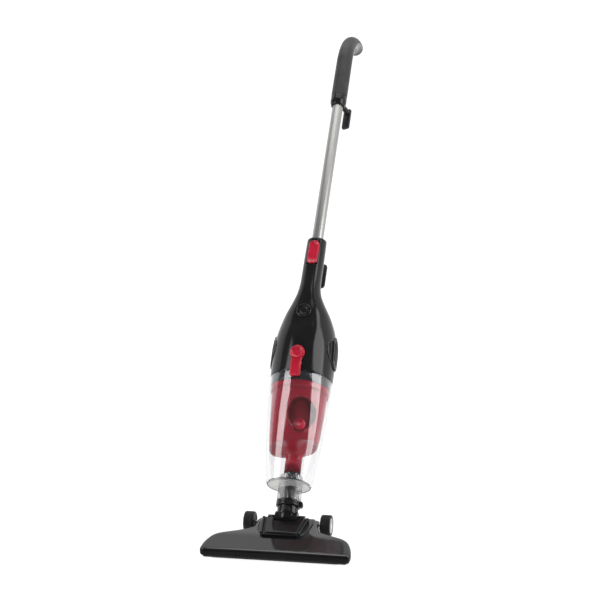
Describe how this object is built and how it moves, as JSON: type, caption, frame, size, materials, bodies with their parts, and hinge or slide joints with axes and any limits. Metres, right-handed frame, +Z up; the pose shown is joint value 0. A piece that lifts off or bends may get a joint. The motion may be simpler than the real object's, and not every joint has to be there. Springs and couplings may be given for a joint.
{
  "type": "upright stick vacuum cleaner",
  "caption": "Upright corded stick vacuum: T-shaped floor head on a pitching neck, clear tapered dust cup, black motor body, steel tube and curled grip.",
  "frame": {"origin": "on the floor straight under the neck hinge, at the centre of the rear glide strip's underside", "axes": "+Z up from the floor, -Y towards the front of the floor head, +X to the user's left when pushing, along the neck hinge and wheel axles"},
  "size_m": [0.266, 0.9672, 0.8226],
  "materials": {
    "gloss_black": "gloss moulded ABS",
    "satin_black": "satin moulded plastic",
    "soft_grip": "soft-touch overmould",
    "red_gloss": "gloss moulded ABS",
    "red_clear": "translucent tinted plastic",
    "clear_plastic": "clear moulded plastic",
    "steel_tube": "brushed along its length",
    "steel_pin": "turned",
    "black_rubber": "moulded",
    "tyre_rubber": "ribbed tread",
    "hub_grey": "moulded",
    "bristle": "dense nylon pile",
    "felt": "velour pile",
    "foam": "open-cell foam",
    "filter_paper": "pleated",
    "navy_plastic": "gloss moulded",
    "copper_iron": "laminated core with enamelled wire",
    "aluminium_fan": "pressed"
  },
  "bodies": {
    "handle": {"extension_tube": "steel_tube", "tube_foot": "satin_black", "grip_pad": "soft_grip", "grip_body": "gloss_black", "grip_end_cap": "satin_black", "grip_collar": "gloss_black"},
    "upper_hook": {"upper_cord_hook": "satin_black"},
    "motor_unit": {"housing_front": "gloss_black", "housing_rear": "gloss_black", "vent_grille_right": "satin_black", "vent_grille_left": "satin_black", "tube_socket": "satin_black", "power_button_ring": "gloss_black", "power_switch": "satin_black", "latch_pin": "steel_pin", "cord_gland": "black_rubber", "lower_cord_hook": "satin_black", "motor_screen": "satin_black", "fan_housing": "aluminium_fan", "motor_stator": "copper_iron", "motor_can": "steel_pin", "motor_bearings": "steel_pin", "motor_mount_lower": "black_rubber", "motor_mount_upper": "black_rubber", "carbon_brushes": "copper_iron", "housing_screws": "steel_pin"},
    "tube_button": {"tube_release_button": "red_gloss"},
    "power_key": {"power_button": "gloss_black"},
    "rotor": {"impeller": "aluminium_fan", "motor_rotor": "copper_iron"},
    "latch": {"cup_latch": "red_gloss"},
    "cup": {"dust_cup": "clear_plastic", "cup_floor": "clear_plastic", "cup_floor_seal": "black_rubber", "inlet_sleeve": "clear_plastic", "inlet_pipe": "navy_plastic", "vortex_shroud": "red_clear", "filter_frame": "navy_plastic", "foam_filter": "foam", "filter_end_plate": "navy_plastic", "cup_rim_seal": "black_rubber", "pleated_filter": "filter_paper"},
    "neck": {"neck_tube": "gloss_black", "neck_collar": "gloss_black"},
    "head_tab": {"head_release_tab": "satin_black"},
    "floor_head": {"head_cover": "gloss_black", "base_plate": "satin_black", "front_bristle_strip": "bristle", "rear_bristle_strip": "bristle", "glide_strip": "felt", "pivot_hood": "gloss_black", "sole_screws": "steel_pin", "wheel_axle_right": "steel_pin", "wheel_axle_left": "steel_pin", "pivot_pin_right": "steel_pin", "pivot_pin_left": "steel_pin"},
    "wheel_right": {"wheel_hub_right": "hub_grey", "wheel_tyre_right": "tyre_rubber"},
    "wheel_left": {"wheel_hub_left": "hub_grey", "wheel_tyre_left": "tyre_rubber"}
  },
  "joints": [
    {"name": "tube_pull", "type": "slide", "parent": "handle", "child": "motor_unit", "axis": [0, -0.7466, -0.6652], "range_m": [0, 0.09]},
    {"name": "hook_turn", "type": "hinge", "parent": "handle", "child": "upper_hook", "pos_m": [0, 0.62565, 0.70144], "axis": [0.342, 0.6251, -0.7016], "range_deg": [0, 180]},
    {"name": "tube_button_press", "type": "slide", "parent": "motor_unit", "child": "tube_button", "axis": [0, 0.6652, -0.7466], "range_m": [0, 0.003], "stiffness_N_per_m": 900, "springref_m": -0.003},
    {"name": "power_press", "type": "slide", "parent": "motor_unit", "child": "power_key", "axis": [0, 0.6665, -0.7455], "range_m": [0, 0.0025], "stiffness_N_per_m": 900, "springref_m": -0.002},
    {"name": "rotor_spin", "type": "hinge", "parent": "motor_unit", "child": "rotor", "pos_m": [0, 0.20048, 0.27543], "axis": [0, 0.6717, 0.7408], "continuous": true},
    {"name": "latch_rock", "type": "hinge", "parent": "motor_unit", "child": "latch", "pos_m": [0, 0.13175, 0.2824], "axis": [1, 0, 0], "range_deg": [-8, 0], "stiffness_Nm_per_rad": 0.6, "springref_deg": 6.88},
    {"name": "cup_pull", "type": "slide", "parent": "motor_unit", "child": "cup", "axis": [0, -0.6717, -0.7408], "range_m": [0, 0.21]},
    {"name": "head_pull", "type": "slide", "parent": "cup", "child": "neck", "axis": [0, -0.6717, -0.7408], "range_m": [0, 0.036]},
    {"name": "tab_press", "type": "slide", "parent": "neck", "child": "head_tab", "axis": [-1, 0, 0], "range_m": [0, 0.0012], "stiffness_N_per_m": 900, "springref_m": -0.002},
    {"name": "neck_pitch", "type": "hinge", "parent": "neck", "child": "floor_head", "pos_m": [0, 0, 0.032], "axis": [1, 0, 0], "range_deg": [-42, 38]},
    {"name": "wheel_right_spin", "type": "hinge", "parent": "floor_head", "child": "wheel_right", "pos_m": [0.07, 0.0084, 0.019], "axis": [1, 0, 0], "continuous": true},
    {"name": "wheel_left_spin", "type": "hinge", "parent": "floor_head", "child": "wheel_left", "pos_m": [-0.07, 0.0084, 0.019], "axis": [1, 0, 0], "continuous": true}
  ]
}
